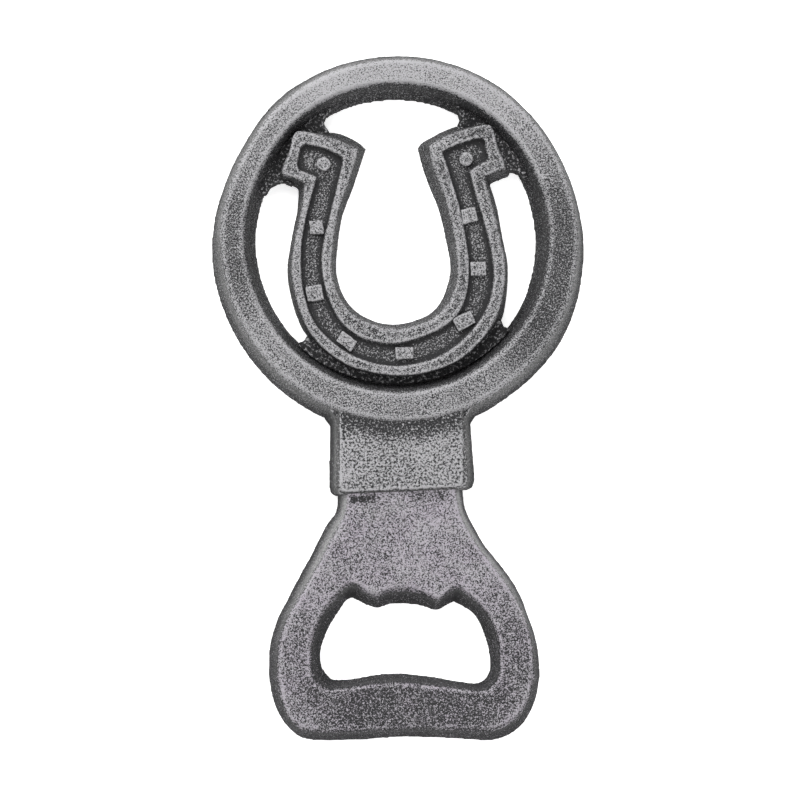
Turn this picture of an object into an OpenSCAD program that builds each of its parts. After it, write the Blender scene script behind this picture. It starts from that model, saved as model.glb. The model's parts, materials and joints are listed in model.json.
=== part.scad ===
// Souvenir bottle opener, sand-cast in iron: a ring with a horseshoe inside it,
// a collar block under the ring, and a bell-shaped opener head with a cap window.
// It lies on its flat back. X is to the right, Y towards the top of the ring and
// Z up out of the front face. The origin is the middle of the back's bounding box.
// Every wall leans in towards the face, as a pattern must to leave the sand.

/* [Overall] */
// Length from the top of the ring to the foot of the head
length = 132.6; // [131:0.2:134]

/* [Ring] */
// Outside diameter of the ring at the back
ring_d = 72.4; // [72:0.2:74]
// Thickness of the ring
ring_h = 9; // [8.6:0.1:10]
// Mean width of the ring's band at the back
ring_band = 9.2; // [9:0.1:10]
// Width of the band's flat face
ring_face = 4; // [3:0.1:5]
// Height of the rounded edge at each side of the face
ring_edge = 0.8; // [0.4:0.1:1.2]

/* [Horseshoe] */
// Height of the raised rims
rim_h = 8.2; // [7.6:0.1:8.4]
// Depth of the nail groove below the rims
groove_depth = 1.4; // [0.8:0.1:2]
// Height of the softened edge of the rims
rim_edge = 0.5; // [0.2:0.1:0.6]
// Usual side of a square nail head
nail_w = 2.6; // [2:0.1:2.8]
// Diameter of a round heel nail
heel_nail_d = 2.7; // [2:0.1:3]
// How far the nail heads stop below the rims
nail_drop = 0.3; // [0.1:0.1:0.5]
// Height of the web under the horseshoe
lower_web_h = 4; // [2.4:0.1:5]
// Height of the webs at the heels
heel_web_h = 4.2; // [2.4:0.1:5]

/* [Collar] */
// Height of the collar block
collar_h = 8.4; // [8:0.1:8.6]

/* [Head] */
// Height of the opener head
head_h = 7.6; // [7:0.1:7.8]
// Height of the softened edge round the head's face
head_edge = 0.8; // [0.4:0.1:1]

/* [Hidden] */
$fn = 360;

// Share of a wall's lean that is used up below its rounded edge
wall_share = 0.72;
// Place of the bend half way round the ring's rounded edge: share of the lean, and
// share of the edge's height below the face
edge_lean = 0.88;
edge_drop = 0.3;
// Share of a rim's width that is flat on top, the rest falling to the nail groove
rim_flat = 0.85;
// Steps between two points of a smooth outline
steps = 6;

ring_r = ring_d / 2;
ring_y = length / 2 - ring_r;
ring_bore_r = ring_r - ring_band;
// The carved pattern's bore is a little off centre, so the band is wider on the right
bore_shift = [-0.45, 0.4];
ring_lean = (ring_band - ring_face) / 2;
foot_y = -length / 2;
groove_floor = rim_h - groove_depth;

// The horseshoe, measured from the ring's centre. Each row is one place along the
// rim, and gives three points: the wall at the back, the rim's edge on the face,
// and the edge of the nail groove.
shoe_outer = [
  [-19.2,  10.3, -17.8,  10.6, -15.3,  11.8],
  [-19.5,   6.0, -18.5,   5.5, -17.1,   6.0],
  [-20.6,   0.8, -19.8,   0.2, -18.3,   0.3],
  [-21.6,  -5.5, -20.5,  -5.5, -18.6,  -5.5],
  [-20.8, -10.8, -19.9, -10.4, -18.0, -11.2],
  [-19.0, -16.4, -18.0, -16.6, -16.2, -15.9],
  [-15.4, -20.9, -15.1, -20.6, -13.5, -19.0],
  [-10.9, -24.2, -10.7, -24.0,  -9.7, -21.9],
  [ -5.7, -25.8,  -5.6, -25.7,  -5.0, -23.7],
  [ -0.3, -26.5,  -0.3, -26.4,  -0.3, -24.3],
  [  5.5, -25.8,   5.4, -25.7,   4.6, -23.4],
  [ 11.1, -23.7,  11.0, -23.6,   9.6, -21.0],
  [ 15.7, -19.8,  15.5, -19.6,  13.4, -17.5],
  [ 19.7, -15.7,  18.2, -15.0,  16.2, -13.6],
  [ 21.0, -10.0,  19.7,  -9.5,  17.5,  -9.0],
  [ 21.2,  -4.5,  19.8,  -4.5,  17.4,  -4.5],
  [ 20.3,   0.6,  18.7,   1.0,  16.4,   1.0],
  [ 19.2,   6.8,  17.2,   6.7,  14.4,   7.8],
  [ 17.9,  10.9,  16.0,  11.5,  13.1,  12.8]
];
shoe_inner = [
  [  3.9,  18.1,   6.4,  17.1,   8.6,  16.2],
  [  4.6,  15.2,   7.0,  13.6,   9.5,  14.0],
  [  6.1,  10.6,   8.1,  10.4,  10.6,  10.2],
  [  7.7,   6.5,   9.4,   6.5,  11.6,   6.8],
  [  9.1,   0.7,  10.6,   0.8,  12.7,   1.0],
  [ 10.0,  -5.0,  11.2,  -5.0,  13.5,  -5.0],
  [  9.2,  -9.2,  10.9,  -9.5,  13.1, -10.4],
  [  7.6, -12.4,   9.1, -13.3,  11.0, -15.1],
  [  4.8, -14.7,   5.6, -16.2,   6.6, -18.4],
  [ -0.5, -16.0,  -0.4, -17.9,  -0.4, -20.5],
  [ -4.8, -15.4,  -5.6, -16.8,  -6.6, -19.9],
  [ -8.4, -13.3,  -9.6, -14.5, -11.0, -16.9],
  [-10.6, -10.4, -12.0, -11.2, -13.8, -11.9],
  [-11.9,  -6.2, -13.2,  -6.4, -15.1,  -6.4],
  [-11.7,  -1.0, -12.8,  -1.0, -14.9,  -1.5],
  [-10.7,   4.9, -11.8,   5.0, -13.3,   5.0],
  [ -8.3,  11.1,  -9.5,  11.3, -11.8,  11.3],
  [ -6.9,  15.3,  -8.6,  14.5, -11.1,  13.9],
  [ -6.0,  17.9,  -8.0,  16.3, -11.1,  15.3]
];
right_heel = [
  [ 17.9,  10.9,  16.0,  11.5,  13.1,  12.8],
  [ 19.7,  11.8,  18.2,  12.6,  15.0,  14.0],
  [ 21.8,  12.9,  20.1,  13.4,  16.7,  15.0],
  [ 20.2,  17.2,  18.8,  17.0,  16.4,  16.9],
  [ 17.2,  20.6,  17.5,  21.6,  15.8,  18.5],
  [ 12.2,  22.4,  11.6,  19.8,  12.3,  17.8],
  [  5.6,  19.7,   7.9,  18.1,   9.9,  16.9],
  [  3.9,  18.1,   6.4,  17.1,   8.6,  16.2]
];
left_heel = [
  [ -6.0,  17.9,  -8.0,  16.3, -11.1,  15.3],
  [ -7.8,  19.6,  -9.4,  16.9, -12.4,  16.1],
  [-12.2,  21.3, -13.1,  18.5, -14.3,  17.0],
  [-18.0,  20.1, -19.4,  20.6, -17.8,  17.5],
  [-21.4,  16.3, -20.8,  16.6, -18.8,  15.6],
  [-23.2,  11.8, -22.1,  12.8, -18.8,  13.5],
  [-21.0,  11.2, -20.0,  11.7, -17.2,  12.7],
  [-19.2,  10.3, -17.8,  10.6, -15.3,  11.8]
];
// Square nail heads: place, turn, and how far each is drawn out along and across
nail_places = [
  [-15.8,   2.1,   4, 1.05, 1.05],
  [-16.3, -10.5,   8, 1.25, 1.15],
  [-10.3, -19.7, -36, 1.4,  0.95],
  [  0.7, -22.1,   2, 1.35, 0.9],
  [ 12.2, -16.1,  26, 1.5,  1.05],
  [ 15.0,  -6.1,   2, 1.2,  1.05],
  [ 13.4,   4.2,  12, 1.15, 1.1]
];
heel_nail_places = [[-14.3, 14.2], [12.9, 14.9]];

// The head, measured from the middle of its foot. Each row is one place round the
// cap window, and gives four points: the window's wall at the back and on the face,
// and the outside wall on the face and at the back.
left_side = [
  [ -7.0, 26.3,  -7.2, 29.5, -15.0, 35.6, -17.7, 35.8],
  [-10.1, 27.6,  -9.9, 31.3, -18.2, 30.2, -20.9, 30.1],
  [-12.4, 24.9, -13.2, 28.8, -20.0, 27.2, -22.6, 26.8],
  [-14.4, 21.6, -16.0, 25.1, -21.7, 24.3, -24.2, 23.6],
  [-15.8, 17.7, -17.9, 19.8, -23.4, 19.3, -25.6, 19.0],
  [-15.7, 14.6, -18.1, 14.6, -23.7, 13.8, -26.0, 13.4]
];
foot_side = [
  [-15.7, 14.6, -18.1, 14.6, -23.7, 13.8, -26.0, 13.4],
  [-14.6, 12.9, -17.4, 12.1, -23.0,  8.6, -25.0,  8.0],
  [-13.2, 12.1, -15.4, 10.6, -21.0,  4.8, -22.4,  3.2],
  [-10.4, 12.2, -12.3, 10.5, -17.4,  3.4, -18.0,  0.6],
  [ -5.0, 13.0,  -5.2, 11.4,  -8.6,  3.2,  -8.4,  0.5],
  [  0.0, 13.1,   0.0, 11.5,   0.0,  3.5,   0.0,  0.9],
  [  5.6, 12.4,   5.8, 10.8,   8.7,  3.3,   8.9,  0.5],
  [ 11.5, 11.3,  12.0, 10.0,  16.5,  3.2,  17.6,  0.1],
  [ 14.2, 11.1,  15.6, 10.0,  20.6,  5.2,  22.6,  2.8],
  [ 16.0, 12.2,  17.7, 11.8,  23.0,  8.4,  25.2,  7.2],
  [ 16.7, 13.9,  18.4, 13.9,  24.2, 12.6,  26.3, 12.2]
];
right_side = [
  [ 16.7, 13.9,  18.4, 13.9,  24.2, 12.6,  26.3, 12.2],
  [ 16.4, 17.4,  18.3, 18.6,  24.0, 18.6,  25.9, 18.2],
  [ 15.1, 21.8,  17.4, 22.4,  22.6, 24.0,  24.2, 23.9],
  [ 13.2, 24.7,  15.0, 26.2,  20.4, 28.4,  22.2, 29.0],
  [  9.8, 26.7,  10.5, 30.4,  17.9, 32.0,  19.6, 33.0]
];
right_flare = [
  [  9.8, 26.7,  10.5, 30.4,  17.9, 32.0,  19.6, 33.0],
  [  8.2, 25.9,   8.6, 29.4,  16.2, 34.4,  17.6, 35.5],
  [  6.4, 25.1,   6.5, 27.8,  14.0, 37.4,  15.6, 38.2],
  [  3.8, 25.9,   3.8, 29.1,  10.9, 43.0,  12.6, 43.8],
  [  0.8, 26.4,   0.8, 30.0,   9.8, 48.0,  11.9, 48.1]
];
crown = [[-0.9, 26.4, -0.9, 30.0, -0.2, 47.6, -0.2, 47.7]];
left_flare = [
  [ -2.6, 26.3,  -2.6, 29.8, -10.4, 47.4, -12.3, 47.3],
  [ -3.8, 25.9,  -4.0, 29.3, -10.6, 44.2, -12.7, 44.3],
  [ -5.0, 25.6,  -5.5, 28.9, -12.2, 40.8, -14.7, 41.4],
  [ -7.0, 26.3,  -7.2, 29.5, -15.0, 35.6, -17.7, 35.8]
];

// Ends of the line where the collar's foot meets the head
neck_left = [-12.3, foot_y + 47.3];
neck_right = [11.9, foot_y + 48.1];

// A smooth curve through the rows p, every row but the last with its in-between rows
function smooth(p) = [
  for (i = [0:len(p) - 2], s = [0:steps - 1])
    let (
      a = p[max(i - 1, 0)],
      b = p[i],
      c = p[i + 1],
      d = p[min(i + 2, len(p) - 1)],
      t = s / steps
    )
    b + (c - a) * t / 2 + (a - 2.5 * b + 2 * c - d / 2) * t * t
      + (1.5 * (b - c) + (d - a) / 2) * t * t * t
];
function last(p) = [p[len(p) - 1]];
// Point k of a row of points
function spot(row, k) = [row[2 * k], row[2 * k + 1]];
function raise(p, z) = [p[0], p[1], z];
function mix(a, b, t) = a + (b - a) * t;

// A solid from a row of sections, each one a ring of points. The triangles of the
// last end cap fan out from its point called hub, and those of the first from point 0.
module band(sections, hub = 0) {
  m = len(sections[0]);
  n = len(sections);
  end = (n - 1) * m;
  polyhedron(
    points = [for (s = sections, p = s) p],
    faces = concat(
      [for (k = [1:m - 2]) [0, k + 1, k]],
      [for (k = [1:m - 2]) [end + hub, end + (hub + k) % m, end + (hub + k + 1) % m]],
      [for (i = [0:n - 2], k = [0:m - 1]) [i * m + k, i * m + (k + 1) % m, (i + 1) * m + k]],
      [for (i = [0:n - 2], k = [0:m - 1])
        [(i + 1) * m + k, i * m + (k + 1) % m, (i + 1) * m + (k + 1) % m]]
    )
  );
}

// A solid between one outline at the bottom and another at the top
module loft(low, z0, high, z1) {
  n = len(low);
  polyhedron(
    points = concat([for (p = low) raise(p, z0)], [for (p = high) raise(p, z1)]),
    faces = concat(
      [[for (i = [0:n - 1]) i]],
      [[for (i = [n - 1:-1:0]) n + i]],
      [for (i = [0:n - 1]) [i, n + i, n + (i + 1) % n]],
      [for (i = [0:n - 1]) [i, n + (i + 1) % n, (i + 1) % n]]
    )
  );
}

// Outer half of the ring's section, from the back to the face, by radius and height
ring_wall = [
  [ring_r, 0],
  [ring_r - wall_share * ring_lean, ring_h - ring_edge],
  [ring_r - edge_lean * ring_lean, ring_h - edge_drop * ring_edge],
  [ring_r - ring_lean, ring_h]
];
// The bore's section, widened past both faces so that it cuts clean through
bore_wall = concat(
  [[ring_bore_r, -1]],
  [for (p = ring_wall) [ring_bore_r + ring_r - p[0], p[1]]],
  [[ring_bore_r + ring_lean, ring_h + 1]]
);

// The ring with its bore filled
module ring_disc() {
  translate([0, ring_y, 0])
    rotate_extrude()
      polygon(concat([[0, 0]], ring_wall, [[0, ring_h]]));
}

module ring_solid() {
  difference() {
    ring_disc();
    translate([bore_shift[0], ring_y + bore_shift[1], 0])
      rotate_extrude()
        polygon(concat([[0, -1]], bore_wall, [[0, ring_h + 1]]));
  }
}

// Share of the rim wall's lean at the groove floor
floor_share = wall_share * groove_floor / (rim_h - rim_edge);

// Body of the horseshoe's bend, from heel to heel
module arms_solid() {
  outer = concat(smooth(shoe_outer), last(shoe_outer));
  inner = concat(smooth(shoe_inner), last(shoe_inner));
  n = len(outer);
  translate([0, ring_y, 0])
    band([
      for (i = [0:n - 1])
        let (o = outer[i], q = inner[n - 1 - i])
        [
          raise(spot(o, 0), 0),
          raise(mix(spot(o, 0), spot(o, 1), floor_share), groove_floor),
          raise(mix(spot(q, 0), spot(q, 1), floor_share), groove_floor),
          raise(spot(q, 0), 0)
        ]
    ], 3);
}

// Body of a heel, up to the floor of its pocket
module heel_solid(rows) {
  all = concat(smooth(rows), last(rows));
  translate([0, ring_y, 0])
    loft([for (r = all) spot(r, 0)], 0,
         [for (r = all) mix(spot(r, 0), spot(r, 1), floor_share)], groove_floor);
}

// One stretch of the raised rim along the given rows
module rim(rows) {
  translate([0, ring_y, 0])
    band([
      for (r = rows)
        let (back = spot(r, 0), face = spot(r, 1), groove = spot(r, 2))
        [
          raise(mix(back, face, floor_share), groove_floor),
          raise(mix(back, face, wall_share), rim_h - rim_edge),
          raise(face, rim_h),
          raise(mix(face, groove, rim_flat), rim_h),
          raise(groove, groove_floor)
        ]
    ]);
}

// One stretch of the head's frame along the given rows
module frame_stretch(rows) {
  translate([0, foot_y, 0])
    band([
      for (r = rows)
        [
          raise(spot(r, 3), 0),
          raise(mix(spot(r, 3), spot(r, 2), wall_share), head_h - head_edge),
          raise(spot(r, 2), head_h),
          raise(spot(r, 1), head_h),
          raise(mix(spot(r, 0), spot(r, 1), wall_share), head_h - head_edge),
          raise(spot(r, 0), 0)
        ]
    ]);
}

// A flat web of height h with the given plan, let in between ring and horseshoe
module web(plan, h) {
  difference() {
    translate([0, ring_y, 0])
      linear_extrude(h)
        polygon(plan);
    ring_solid();
    arms_solid();
    heel_solid(left_heel);
    heel_solid(right_heel);
  }
}

module ring() {
  color("dimgray")
    ring_solid();
}

module shoe_arms() {
  color([0.22, 0.22, 0.24])
    arms_solid();
}

module left_heel_pad() {
  color([0.24, 0.24, 0.26])
    heel_solid(left_heel);
}

module right_heel_pad() {
  color([0.24, 0.24, 0.26])
    heel_solid(right_heel);
}

module shoe_inner_rim() {
  color([0.5, 0.5, 0.52])
    rim(concat(smooth(shoe_inner), last(shoe_inner)));
}

module shoe_outer_rim() {
  color([0.5, 0.5, 0.52])
    rim(concat(smooth(shoe_outer), last(shoe_outer)));
}

module left_heel_rim() {
  color([0.46, 0.46, 0.48])
    rim(concat(smooth(left_heel), last(left_heel)));
}

module right_heel_rim() {
  color([0.46, 0.46, 0.48])
    rim(concat(smooth(right_heel), last(right_heel)));
}

module nail_heads() {
  color([0.6, 0.6, 0.62])
    for (p = nail_places)
      translate([p[0], ring_y + p[1], groove_floor])
        rotate(p[2])
          linear_extrude(groove_depth - nail_drop)
            square([nail_w * p[3], nail_w * p[4]], center = true);
}

module heel_nails() {
  color([0.6, 0.6, 0.62])
    for (p = heel_nail_places)
      translate([p[0], ring_y + p[1], groove_floor])
        cylinder(h = groove_depth - nail_drop, d = heel_nail_d);
}

module lower_web() {
  color([0.14, 0.14, 0.15])
    web([
      [-16.6, -17.6], [-13.5, -21.2], [-8, -24], [0, -25.5], [8, -24.2], [13.5, -20.8],
      [18.3, -14.6], [19.3, -15.9], [19.9, -17.1], [20.6, -17.4], [21.6, -17.2],
      [23.5, -19.8], [19, -25.5], [11, -30], [0, -31.5], [-11, -30], [-17, -27],
      [-20.8, -20.4], [-19.4, -19.9], [-18.4, -19.6], [-17.8, -18.7]
    ], lower_web_h);
}

module left_heel_web() {
  color([0.14, 0.14, 0.15])
    web([
      [-12.8, 25.2], [-13.8, 23.9], [-14.4, 22.9], [-14.1, 22], [-13.2, 20.6],
      [-20.8, 15], [-20.6, 10.9], [-21.6, 11.3], [-23.2, 11.4], [-24.6, 10.7],
      [-25.6, 9.2], [-28, 9], [-29, 15], [-24, 22], [-16, 27.5]
    ], heel_web_h);
}

module right_heel_web() {
  color([0.14, 0.14, 0.15])
    web([
      [10.8, 26], [12, 24.4], [12.5, 23.4], [12.2, 22.7], [11.6, 21.4], [18.8, 16],
      [19.8, 12.4], [21.2, 13.2], [22.6, 13.4], [23.6, 12.8], [24.4, 11.6],
      [27.2, 11.4], [28.5, 16], [24, 22], [15, 27.8]
    ], heel_web_h);
}

// Places of the collar's sides: top at the back, foot at the back, and on the face
collar_left = [-13.6, -13.9, -11.8];
collar_right = [13.4, 14.3, 11.3];
collar_top = ring_y - ring_r + 4;
// Share of its lean that the collar's side takes up below the head's face, and how far
// below that face it stops
collar_share = 0.6;
collar_step = 0.4;
// How far the collar's rounded foot draws back from the neck's line on the face
collar_round = 0.7;

module collar() {
  // A corner at x, a little above the neck's line
  function corner(x, up) = [
    x,
    mix(neck_left[1], neck_right[1], (x - neck_left[0]) / (neck_right[0] - neck_left[0])) + up
  ];
  // Outline of the collar with its sides drawn in by t of their lean and its foot by f
  function plan(t, f) = [
    [mix(collar_left[0], collar_left[2], t), collar_top],
    corner(mix(collar_left[1], collar_left[2], t), 1.8),
    corner(mix(collar_left[1], collar_left[2], t) + 0.4, 0.5 + f / 2),
    corner(mix(collar_left[1], collar_left[2], t) + 1.3, f),
    corner(mix(collar_right[1], collar_right[2], t) - 1.5, f),
    corner(mix(collar_right[1], collar_right[2], t) - 0.5, 0.5 + f / 2),
    corner(mix(collar_right[1], collar_right[2], t), 1.8),
    [mix(collar_right[0], collar_right[2], t), collar_top]
  ];
  color([0.45, 0.45, 0.47])
    difference() {
      union() {
        loft(plan(0, 0), 0, plan(collar_share, 0), head_h - collar_step);
        loft(plan(collar_share, 0), head_h - collar_step, plan(1, collar_round), collar_h);
      }
      ring_disc();
    }
}

module left_shoulder() {
  color([0.4, 0.4, 0.42])
    frame_stretch(concat(crown, smooth(left_flare), last(left_flare)));
}

module right_shoulder() {
  color([0.4, 0.4, 0.42])
    frame_stretch(concat(smooth(right_flare), last(right_flare), crown));
}

module left_cheek() {
  color([0.36, 0.36, 0.38])
    frame_stretch(concat(smooth(left_side), last(left_side)));
}

module right_cheek() {
  color([0.36, 0.36, 0.38])
    frame_stretch(concat(smooth(right_side), last(right_side)));
}

module cross_bar() {
  color([0.32, 0.32, 0.34])
    frame_stretch(concat(smooth(foot_side), last(foot_side)));
}

ring();
shoe_arms();
left_heel_pad();
right_heel_pad();
shoe_inner_rim();
shoe_outer_rim();
left_heel_rim();
right_heel_rim();
nail_heads();
heel_nails();
lower_web();
left_heel_web();
right_heel_web();
collar();
left_shoulder();
right_shoulder();
left_cheek();
right_cheek();
cross_bar();
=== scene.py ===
import json
from math import atan2, cos, radians, sin

import bpy
import numpy as np
from mathutils import Matrix, Vector

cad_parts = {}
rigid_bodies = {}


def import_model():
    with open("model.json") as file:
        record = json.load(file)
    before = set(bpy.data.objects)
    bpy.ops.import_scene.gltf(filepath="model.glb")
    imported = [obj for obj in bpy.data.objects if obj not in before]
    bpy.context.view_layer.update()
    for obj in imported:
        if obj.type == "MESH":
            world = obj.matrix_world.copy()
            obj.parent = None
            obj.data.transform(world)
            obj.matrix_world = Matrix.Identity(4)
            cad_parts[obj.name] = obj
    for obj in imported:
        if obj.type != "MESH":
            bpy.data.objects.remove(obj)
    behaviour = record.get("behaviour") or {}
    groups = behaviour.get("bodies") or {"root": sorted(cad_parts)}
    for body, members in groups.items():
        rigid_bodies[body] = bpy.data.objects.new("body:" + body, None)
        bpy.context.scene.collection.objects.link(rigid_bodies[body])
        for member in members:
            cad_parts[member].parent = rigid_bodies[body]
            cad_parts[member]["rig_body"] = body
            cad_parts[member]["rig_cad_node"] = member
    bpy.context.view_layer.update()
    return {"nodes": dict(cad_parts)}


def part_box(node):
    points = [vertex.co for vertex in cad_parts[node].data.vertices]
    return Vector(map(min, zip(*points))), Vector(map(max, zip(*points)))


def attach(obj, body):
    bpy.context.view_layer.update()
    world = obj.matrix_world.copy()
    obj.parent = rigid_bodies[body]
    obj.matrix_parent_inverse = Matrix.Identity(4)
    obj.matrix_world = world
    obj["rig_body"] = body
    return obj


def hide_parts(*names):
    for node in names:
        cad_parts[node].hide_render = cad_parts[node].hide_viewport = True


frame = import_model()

# --- Ring ---------------------------------------------------------------------------
# The round frame of the casting, in grey iron. Its walls lean so that the pattern could
# leave the sand, its front is a flat band between two rounded edges, and it is a little
# out of round because the pattern was shaped by hand.
ring_low, ring_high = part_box("ring")
ring_mid = (ring_low + ring_high) / 2
ring_radius = (ring_high.x - ring_low.x) / 2
ring_height = ring_high.z
# Mean width of the band at the back
ring_band = 0.0092
bore_radius = ring_radius - ring_band
bore_shift = Vector((-0.00045, 0.0004, 0))
# How far each wall leans in from the back to the face
ring_lean = 0.0026
# Share of the lean and of the height at each turn of a wall, from the back to the face
ring_wall = [(0, 0), (0.72, 0.91), (0.88, 0.973), (1, 1)]
# How much deeper the lower half is than round
ring_sag = 1.03
# Where the rim is flattened or, below zero, swollen: angle, how far it goes in, and how wide
ring_dents = [(18, 0.0006, 0.017), (40, 0.0004, 0.014), (152, 0.001, 0.017), (172, 0.0003, 0.012),
              (-31, -0.0005, 0.018)]


def select_points(piece, wanted):
    """Selects the points of a mesh whose place passes the test, and nothing else."""
    bpy.ops.object.mode_set(mode="EDIT")
    bpy.ops.mesh.select_mode(type="VERT")
    bpy.ops.mesh.select_all(action="DESELECT")
    bpy.ops.object.mode_set(mode="OBJECT")
    for point in piece.data.vertices:
        point.select = wanted(point.co)
    bpy.ops.object.mode_set(mode="EDIT")


def apply_modifier(piece, kind, **settings):
    """Adds a modifier with these settings and applies it to the mesh."""
    bpy.ops.object.modifier_add(type=kind)
    modifier = piece.modifiers[-1]
    for name, value in settings.items():
        setattr(modifier, name, value)
    bpy.ops.object.modifier_apply(modifier=modifier.name)


def neighbours_mean(values, ends, count):
    """For each point, the mean of the values at the points that share an edge with it."""
    total = np.zeros_like(values)
    for axis in range(values.shape[1]):
        total[:, axis] = np.bincount(ends[:, 0], values[ends[:, 1], axis], len(values))
        total[:, axis] += np.bincount(ends[:, 1], values[ends[:, 0], axis], len(values))
    return total / count[:, None]


# Rounds of averaging that give a point's surroundings, and rounds that smooth the result
surroundings_rounds = 9
smoothing_rounds = 3


def mark_edges(piece):
    """Stores how far each point stands out from its surroundings, in tenths of a millimetre."""
    mesh = piece.data
    size = len(mesh.vertices)
    places = np.empty(size * 3)
    mesh.vertices.foreach_get("co", places)
    places = places.reshape(-1, 3)
    normals = np.empty(size * 3)
    mesh.vertices.foreach_get("normal", normals)
    normals = normals.reshape(-1, 3)
    ends = np.empty(len(mesh.edges) * 2, int)
    mesh.edges.foreach_get("vertices", ends)
    ends = ends.reshape(-1, 2)
    count = np.bincount(ends.ravel(), minlength=size).clip(1)
    blurred = places
    for _ in range(surroundings_rounds):
        blurred = neighbours_mean(blurred, ends, count)
    stand_out = ((places - blurred) * normals).sum(axis=1, keepdims=True) * 10000
    for _ in range(smoothing_rounds):
        stand_out = neighbours_mean(stand_out, ends, count)
    mark = mesh.attributes.new("edge", "FLOAT", "POINT")
    mark.data.foreach_set("value", stand_out.ravel())


def sand_texture(name, size, depth):
    """A cloudy texture whose lumps are about this many metres across."""
    texture = bpy.data.textures.new(name, "CLOUDS")
    texture.noise_scale = size
    texture.noise_depth = depth
    return texture


sand_waves = sand_texture("sand_waves", 0.006, 2)
sand_lumps = sand_texture("sand_lumps", 0.0016, 2)
sand_grain = sand_texture("sand_grain", 0.0006, 1)
# The grey of a texture that leaves the skin where it is
sand_level = 0.55
wave_depth = 0.00022
# Height up to which the outline keeps the crisp corner of the parting face
back_edge = 0.0004


def cast_in_sand(piece, cell, softness, lumps=0.00012, grain=0.00007):
    """Gives a built-up shape the single skin, soft corners and grain of a sand casting. Cell is
    the step that the skin is rebuilt in, softness the rounds of rubbing down, and lumps and
    grain the depths of its roughness."""
    bpy.ops.object.mode_set(mode="OBJECT")
    apply_modifier(piece, "REMESH", mode="VOXEL", voxel_size=cell, adaptivity=0)
    above = piece.vertex_groups.new(name="above_back")
    above.add([point.index for point in piece.data.vertices if point.co.z > back_edge], 1, "REPLACE")
    apply_modifier(piece, "SMOOTH", factor=0.5, iterations=softness, vertex_group="above_back")
    mark_edges(piece)
    apply_modifier(piece, "DISPLACE", texture=sand_waves, strength=wave_depth, mid_level=sand_level)
    apply_modifier(piece, "DISPLACE", texture=sand_lumps, strength=lumps, mid_level=sand_level)
    apply_modifier(piece, "DISPLACE", texture=sand_grain, strength=grain, mid_level=sand_level)
    select_points(piece, lambda place: place.z < 0)
    bpy.ops.transform.resize(value=(1, 1, 0), center_override=(0, 0, 0))
    bpy.ops.object.mode_set(mode="OBJECT")
    bpy.ops.object.shade_smooth()


bpy.ops.object.select_all(action="DESELECT")
bpy.ops.mesh.primitive_circle_add(vertices=256, radius=ring_radius, location=(ring_mid.x, ring_mid.y, 0))
bpy.ops.object.transform_apply(location=True, rotation=True, scale=True)
ring = bpy.context.object
ring.name = "cast_ring"
bpy.ops.object.mode_set(mode="EDIT")
radius = ring_radius
height = 0
centre = Vector((ring_mid.x, ring_mid.y, 0))
for lean, rise in ring_wall[1:]:
    bpy.ops.mesh.extrude_edges_move(TRANSFORM_OT_translate={"value": (0, 0, rise * ring_height - height)})
    wanted = ring_radius - lean * ring_lean
    bpy.ops.transform.resize(value=(wanted / radius, wanted / radius, 1), center_override=centre)
    radius, height = wanted, rise * ring_height
for lean, rise in reversed(ring_wall):
    bpy.ops.mesh.extrude_edges_move(TRANSFORM_OT_translate={"value": (0, 0, rise * ring_height - height)})
    if lean == 1:
        bpy.ops.transform.translate(value=bore_shift)
        centre += bore_shift
    wanted = bore_radius + lean * ring_lean
    bpy.ops.transform.resize(value=(wanted / radius, wanted / radius, 1), center_override=centre)
    radius, height = wanted, rise * ring_height
select_points(ring, lambda place: place.z < 0.00001)
bpy.ops.mesh.bridge_edge_loops()
select_points(ring, lambda place: place.y < ring_mid.y)
bpy.ops.transform.resize(value=(1, ring_sag, 1), center_override=ring_mid)
for angle, depth, reach in ring_dents:
    spoke = Vector((cos(radians(angle)), sin(radians(angle)), 0))
    rim = Vector((ring_mid.x, ring_mid.y, 0)) + spoke * ring_radius
    select_points(ring, lambda place: (place - rim).length < 0.0006)
    bpy.ops.transform.translate(value=-spoke * depth, use_proportional_edit=True,
                                proportional_edit_falloff="SMOOTH", proportional_size=reach)
bpy.ops.mesh.select_all(action="SELECT")
bpy.ops.mesh.normals_make_consistent(inside=False)
cast_in_sand(ring, 0.00029, 8)


# Colours of the charcoal skin, painted darker low down as shade and lighter high up, and of the pewter
# that is rubbed on
charcoal_painted_shade = (0.006, 0.006, 0.007, 1)
charcoal_up_high = (0.022, 0.022, 0.023, 1)
grey_pewter = (0.32, 0.32, 0.325, 1)
warm_pewter = (0.32, 0.314, 0.328, 1)


class Wire:
    """A material's node tree, or a socket in it. Arithmetic with a socket adds Math nodes."""

    def __init__(self, tree, socket=None):
        self.tree = tree
        self.socket = socket

    def node(self, kind, settings, sockets, out=0):
        made = self.tree.nodes.new("ShaderNode" + kind)
        for name, value in settings.items():
            setattr(made, name, value)
        for name, value in sockets.items():
            if isinstance(value, Wire):
                self.tree.links.new(value.socket, made.inputs[name])
            else:
                made.inputs[name].default_value = value
        return Wire(self.tree, made.outputs[out])

    def math(self, operation, *values):
        return self.node("Math", {"operation": operation}, dict(enumerate(values)))

    def __add__(self, other):
        return self.math("ADD", self, other)

    def __sub__(self, other):
        return self.math("SUBTRACT", self, other)

    def __rsub__(self, other):
        return self.math("SUBTRACT", other, self)

    def __mul__(self, other):
        return self.math("MULTIPLY", self, other)

    __radd__ = __add__
    __rmul__ = __mul__

    def step(self, start, end):
        """0 below start, 1 above end, and a soft rise between them."""
        return self.node("MapRange", {"interpolation_type": "SMOOTHSTEP"},
                         {"Value": self, "From Min": start, "From Max": end})

    def blend(self, first, second):
        """The first colour where this is 0 and the second where it is 1."""
        return self.node("Mix", {"data_type": "RGBA"}, {0: self, 6: first, 7: second}, 2)


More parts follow.
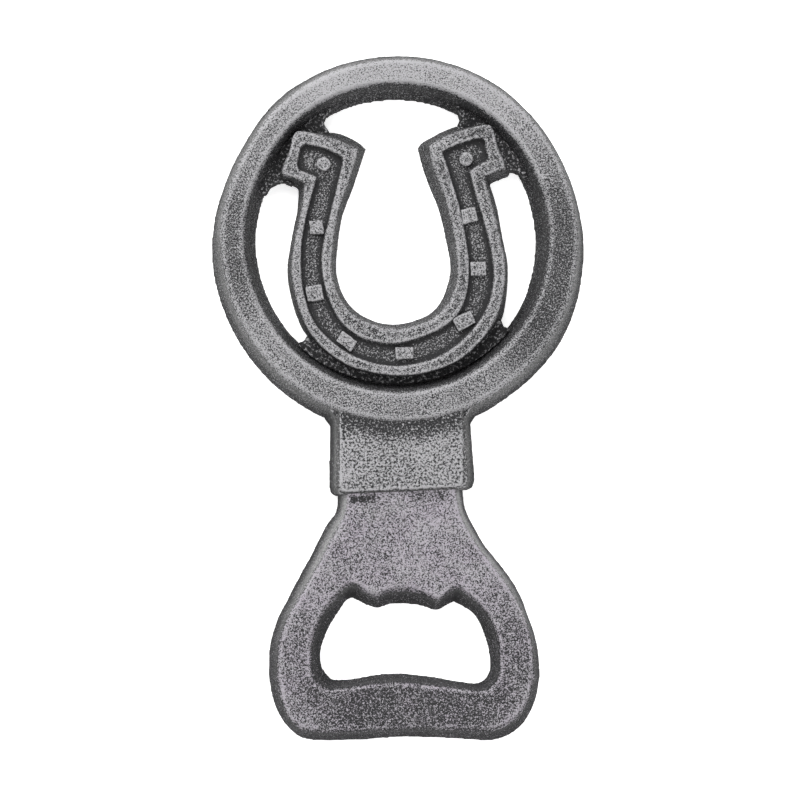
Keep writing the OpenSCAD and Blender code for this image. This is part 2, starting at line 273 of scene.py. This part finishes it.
def brushed_iron(name, floor, top, face_cover, floor_cover, wall_cover, rubs_and_shade=(), painted_sheen_area=None,
                 edge_cover=0.24, tint=warm_pewter, grain_size=0.32, softness=0.075):
    """Charcoal casting skin with pewter rubbed over what stands out. The charcoal is painted darker
    low down as shade, and the walls take a painted sheen that grows towards their top. Each rub is
    a place that took more or less pewter, and the rubs under steps paint shade as less pewter: a
    middle, the distances where it starts to fade and ends, and how much. The painted sheen area is
    where the outer walls begin: a middle, how far a distance along Y counts, the distances where
    the walls' painted sheen starts and is full, and how light it is."""
    material = bpy.data.materials.new(name)
    material.use_nodes = True
    material.node_tree.nodes.clear()
    tree = Wire(material.node_tree)
    place = tree.node("TexCoord", {}, {}, "Object")
    mm = tree.node("VectorMath", {"operation": "SCALE"}, {0: place, "Scale": 1000})
    height = tree.node("SeparateXYZ", {}, {0: place}, "Z")
    normal = tree.node("NewGeometry", {}, {}, "Normal")
    upward = tree.node("SeparateXYZ", {}, {0: normal}, "Z")
    edge = tree.node("Attribute", {"attribute_name": "edge"}, {}, "Fac")

    def noise(size, detail=2, roughness=0.6):
        return tree.node("TexNoise", {}, {"Vector": mm, "Scale": 1 / size, "Detail": detail,
                                          "Roughness": roughness})

    def distance(middle, squash=1.0):
        flat = tree.node("VectorMath", {"operation": "SUBTRACT"}, {0: place, 1: (*middle, 0)})
        flat = tree.node("VectorMath", {"operation": "MULTIPLY"}, {0: flat, 1: (1, squash, 0)})
        return tree.node("VectorMath", {"operation": "LENGTH"}, {0: flat}, "Value")

    grain = noise(grain_size, 2, 0.55)
    fine = noise(0.16, 1)
    patches = noise(9, 2)
    facing = upward.step(0.4, 0.9)
    raised = height.step(floor + 0.0003, top - 0.0005)
    rubbed = facing * raised
    sunk = facing * (1 - raised) * height.step(floor - 0.0015, floor - 0.0005)
    proud = edge.step(0.15, 0.9)
    crease = (0 - edge).step(0.15, 1.1)
    cover = (wall_cover + rubbed * (face_cover - wall_cover) + sunk * (floor_cover - wall_cover)
             + proud * raised * edge_cover - crease * 0.4 + (patches - 0.5) * 0.3)
    # Some rubs paint shade under a step as less pewter
    for middle, near, far, amount in rubs_and_shade:
        cover = cover + (1 - distance(middle).step(near, far)) * rubbed * amount
    limit = 0.67 - cover * 0.32
    speckle = grain * 0.62 + fine * 0.38
    pewter = tree.node("MapRange", {"interpolation_type": "SMOOTHSTEP"},
                       {"Value": speckle, "From Min": limit - softness, "From Max": limit + softness})
    # Painted shade: the charcoal is darker low down, in the deep places
    charcoal_shaded_low = height.step(0.004, 0.0065).blend(charcoal_painted_shade, charcoal_up_high)
    # Painted sheen: walls grow lighter towards the top, only on the outer walls where these are given,
    # and less on the rubbed faces
    painted_sheen = height.step(0.001, top)
    light = 0.1
    if painted_sheen_area:
        middle, squash, near, far, light = painted_sheen_area
        painted_sheen = painted_sheen * distance(middle, squash).step(near, far)
    painted_sheen = painted_sheen * (patches * 0.6 + 0.5) * (1 - rubbed) * (speckle.step(0.35, 0.65) * 1.3 + 0.35)
    black = painted_sheen.blend(charcoal_shaded_low, (light, light, light, 1))
    silver = noise(4).blend(grey_pewter, tint)
    colour = pewter.blend(black, silver)
    bump = tree.node("Bump", {}, {"Strength": 0.8, "Distance": 0.00015, "Height": speckle})
    shader = tree.node("BsdfPrincipled", {}, {"Base Color": colour, "Metallic": pewter * 0.3,
                                              "Roughness": 0.8 - pewter * 0.2, "Normal": bump,
                                              "Specular IOR Level": 0.15})
    output = material.node_tree.nodes.new("ShaderNodeOutputMaterial")
    material.node_tree.links.new(shader.socket, output.inputs["Surface"])
    return material


def finish_piece(piece, material, nodes):
    """Paints a finished piece and puts it in place of its CAD nodes."""
    piece.data.materials.clear()
    piece.data.materials.append(material)
    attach(piece, "root")
    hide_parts(*nodes)


# More pewter at the top of the ring, and less on the right and the left
ring_rubs = [((0, 0.064), 0.012, 0.036, 0.2), ((0.035, 0.02), 0.01, 0.03, -0.25),
             ((-0.034, 0.028), 0.006, 0.02, -0.16)]
# The ring's outer walls take a painted sheen, lighter towards their top
ring_painted_sheen_area = (ring_mid.xy, 1.0, ring_radius - 0.0055, ring_radius - 0.003, 0.11)
ring_iron = brushed_iron("ring_iron", 0.0, ring_height, 0.52, 0.1, 0.16, ring_rubs, ring_painted_sheen_area)
finish_piece(ring, ring_iron, ["ring"])

# --- Horseshoe ----------------------------------------------------------------------
# The raised shoe inside the ring: a bend and two L-shaped heels, with a rim along every
# edge and a sunk nail groove between. It is cast in one with the ring.


def pattern_of(name, nodes):
    """A copy of these CAD solids, joined as the loose pattern of one piece."""
    bpy.ops.object.select_all(action="DESELECT")
    for node in nodes:
        frame["nodes"][node].select_set(True)
    bpy.context.view_layer.objects.active = frame["nodes"][nodes[0]]
    bpy.ops.object.duplicate()
    if len(nodes) > 1:
        bpy.ops.object.join()
    piece = bpy.context.object
    piece.name = name
    piece.parent = None
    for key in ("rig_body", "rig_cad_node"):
        del piece[key]
    piece.data.materials.clear()
    bpy.ops.object.mode_set(mode="EDIT")
    bpy.ops.mesh.select_all(action="SELECT")
    bpy.ops.mesh.remove_doubles(threshold=0.000001)
    return piece


shoe_body_nodes = ["shoe_arms", "left_heel_pad", "right_heel_pad"]
shoe_rim_nodes = ["shoe_inner_rim", "shoe_outer_rim", "left_heel_rim", "right_heel_rim"]
groove_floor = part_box("shoe_arms")[1].z
shoe_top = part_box("shoe_inner_rim")[1].z
shoe_nodes = shoe_body_nodes + shoe_rim_nodes
shoe = pattern_of("cast_horseshoe", shoe_nodes)
cast_in_sand(shoe, 0.00024, 9)
# The shoe stands inside the ring, so its walls take almost no painted sheen
shoe_painted_sheen_area = ((0, 0), 1, 0, 1, 0.1)
shoe_iron = brushed_iron("shoe_iron", groove_floor, shoe_top, 0.44, 0.28, 0.2, (), shoe_painted_sheen_area)
finish_piece(shoe, shoe_iron, shoe_nodes)

# --- Nail heads ---------------------------------------------------------------------
# Seven square nail heads in the groove and a round one in each heel. They are cast with the
# shoe in the same iron, and their tops took the pewter rubbing.
nail_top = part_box("nail_heads")[1].z
nail_cell = 0.00013
nail_softness = 16
nail_lumps = 0.00045
nail_iron = brushed_iron("nail_iron", groove_floor, nail_top, 0.58, 0.4, 0.3)
nails = pattern_of("square_nail_heads", ["nail_heads"])
cast_in_sand(nails, nail_cell, nail_softness, nail_lumps)
finish_piece(nails, nail_iron, ["nail_heads"])
heel_nails = pattern_of("round_heel_nails", ["heel_nails"])
cast_in_sand(heel_nails, nail_cell, nail_softness, nail_lumps)
finish_piece(heel_nails, nail_iron, ["heel_nails"])

# --- Webs ---------------------------------------------------------------------------
# Low webs left between ring and horseshoe, where the sand was not cut away. They are
# rough and dark, because the pewter rubbing hardly reached them, and being low they take the painted
# shade of the charcoal.
web_overlap = 0.0004
# How far above a web the pewter rubbing would be full
web_shortfall = 0.004
for node in ("lower_web", "left_heel_web", "right_heel_web"):
    web = pattern_of("cast_" + node, [node])
    bpy.ops.transform.shrink_fatten(value=web_overlap)
    cast_in_sand(web, 0.00022, 6, 0.0004)
    web_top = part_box(node)[1].z
    web_iron = brushed_iron(node + "_iron", 0.0, web_top + web_shortfall, 0.2, 0.2, 0.05,
                            grain_size=0.5, softness=0.05)
    finish_piece(web, web_iron, [node])

# --- Collar -------------------------------------------------------------------------
# The raised block under the ring, cast in one with it. It has a rounded lower edge, and
# hollow corners where its sides run out into the ring's wall.
collar_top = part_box("collar")[1].z
collar = pattern_of("cast_collar", ["collar"])
# Where the sides meet the ring at the back: place along X, and which way is out
collar_sides = [(-0.0136, -1), (0.0134, 1)]
# The hollow corners: a wedge across each, leaning in and up with the walls
corner_reach = 0.0012
corner_top = collar_top - 0.0008
corner_lean = (0.0011, 0.0016)


def under_ring(x):
    """The point on the lower side of the ring's outline at this place along X."""
    return Vector((x, ring_mid.y - ring_sag * (ring_radius**2 - x**2)**0.5, 0))


for x, side in collar_sides:
    wedge_top = under_ring(x + side * corner_reach)
    wedge_foot = under_ring(x) - Vector((0, corner_reach, 0))
    slope = wedge_foot - wedge_top
    middle = (wedge_top + wedge_foot + side * Vector((slope.y, -slope.x, side * corner_top))) / 2
    bpy.ops.mesh.primitive_cube_add(size=1, location=middle, rotation=(0, 0, atan2(slope.y, slope.x)),
                                    scale=(slope.length, slope.length, corner_top))
    select_points(collar, lambda place: abs(place.z - corner_top) < 0.0001 and abs(place.x - x) < 0.004)
    bpy.ops.transform.translate(value=(-side * corner_lean[0], corner_lean[1], 0))
cast_in_sand(collar, 0.0002, 9)
# Painted shade: less pewter in the crease under the ring's face edge, where the step shades the collar
collar_painted_shade = [(ring_mid.xy, ring_radius - 0.0005, ring_radius + 0.004, -0.28)]
collar_iron = brushed_iron("collar_iron", 0.0, collar_top, 0.55, 0.1, 0.1, collar_painted_shade,
                           edge_cover=0.42, grain_size=0.42, softness=0.055)
finish_piece(collar, collar_iron, ["collar"])

# --- Opener head --------------------------------------------------------------------
# The bell-shaped end of the casting: shoulder, cheeks and cross bar round the cap window,
# with the two teeth of the lip. Its neck runs up under the collar.
head_nodes = ["left_shoulder", "right_shoulder", "left_cheek", "right_cheek", "cross_bar"]
head_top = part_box("cross_bar")[1].z
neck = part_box("right_shoulder")[1].y
neck_overlap = 0.001
head = pattern_of("cast_head", head_nodes)
select_points(head, lambda place: place.y > neck - neck_overlap)
bpy.ops.transform.translate(value=(0, neck_overlap, 0))
cast_in_sand(head, 0.00025, 8)
# Less pewter on the cross bar and the two cheeks
head_rubs_and_shade = [((0, -0.062), 0.008, 0.026, -0.28), ((0.021, -0.05), 0.004, 0.014, -0.16),
             ((-0.02, -0.05), 0.004, 0.014, -0.1)]
# Painted shade as less pewter under the left end of the collar's foot, where it steps down to the head
head_rubs_and_shade += [((-0.0094, -0.0198), 0.0002, 0.0013, -0.45), ((-0.0077, -0.0198), 0.0002, 0.0013, -0.45),
              ((-0.006, -0.0197), 0.0002, 0.0013, -0.4)]
# Fainter painted shade under the right half
head_rubs_and_shade += [((0.003, -0.0192), 0.001, 0.0024, -0.15), ((0.0068, -0.019), 0.001, 0.0024, -0.15)]
# The head's outer walls, away from the middle of the cap window, take a brighter painted sheen, strongest
# on the shoulders
head_painted_sheen_area = ((0, -0.058), 1.3, 0.024, 0.042, 0.28)
violet_pewter = (0.32, 0.284, 0.335, 1)
head_iron = brushed_iron("head_iron", 0.0, head_top, 0.57, 0.1, 0.1, head_rubs_and_shade, head_painted_sheen_area,
                         tint=violet_pewter, softness=0.05)
finish_piece(head, head_iron, head_nodes)

# --- Studio -------------------------------------------------------------------------
# A plain pale table that glows a little, so that it stays white, and a white room. A wide
# soft light stands beyond the ring's end and a weaker one beyond the head.
bpy.ops.object.select_all(action="DESELECT")
bpy.ops.mesh.primitive_plane_add(size=4, location=(0, 0, -0.0001))
table = bpy.context.object
table.name = "table"
paper = bpy.data.materials.new("pale_paper")
paper.use_nodes = True
paper_sockets = paper.node_tree.nodes["Principled BSDF"].inputs
paper_sockets["Base Color"].default_value = (0.9, 0.9, 0.9, 1)
paper_sockets["Roughness"].default_value = 0.9
paper_sockets["Emission Color"].default_value = (1, 1, 1, 1)
paper_sockets["Emission Strength"].default_value = 0.6
table.data.materials.append(paper)

room = bpy.data.worlds.new("room")
room.use_nodes = True
room_sockets = room.node_tree.nodes["Background"].inputs
room_sockets["Color"].default_value = (1, 1, 1, 1)
room_sockets["Strength"].default_value = 0.5
bpy.context.scene.world = room


def softbox(name, place, aim, size, power):
    """A square lamp at a place, turned to face the aim."""
    bpy.ops.object.light_add(type="AREA", location=place)
    lamp = bpy.context.object
    lamp.name = name
    lamp.data.size = size
    lamp.data.energy = power
    lamp.rotation_euler = (Vector(aim) - Vector(place)).to_track_quat("-Z", "Y").to_euler()


softbox("key", (-0.22, 0.5, 0.6), (0, 0.01, 0), 0.8, 10)
softbox("fill", (0.3, -0.5, 0.7), (0, 0, 0), 0.8, 4)

eye = Vector((-0.020, -0.025, 0.550))
aim = Vector((0, -0.0006, 0))
roll = radians(0.6)
back = (eye - aim).normalized()
across = Vector((cos(roll), -sin(roll), 0)).cross(back).cross(-back).normalized()
bpy.ops.object.camera_add(location=eye)
camera = bpy.context.object
camera.rotation_euler = Matrix((across, back.cross(across), back)).transposed().to_euler()
camera.data.sensor_width = 36
camera.data.lens = 128.4
bpy.context.scene.camera = camera
bpy.context.scene.view_settings.view_transform = "Standard"
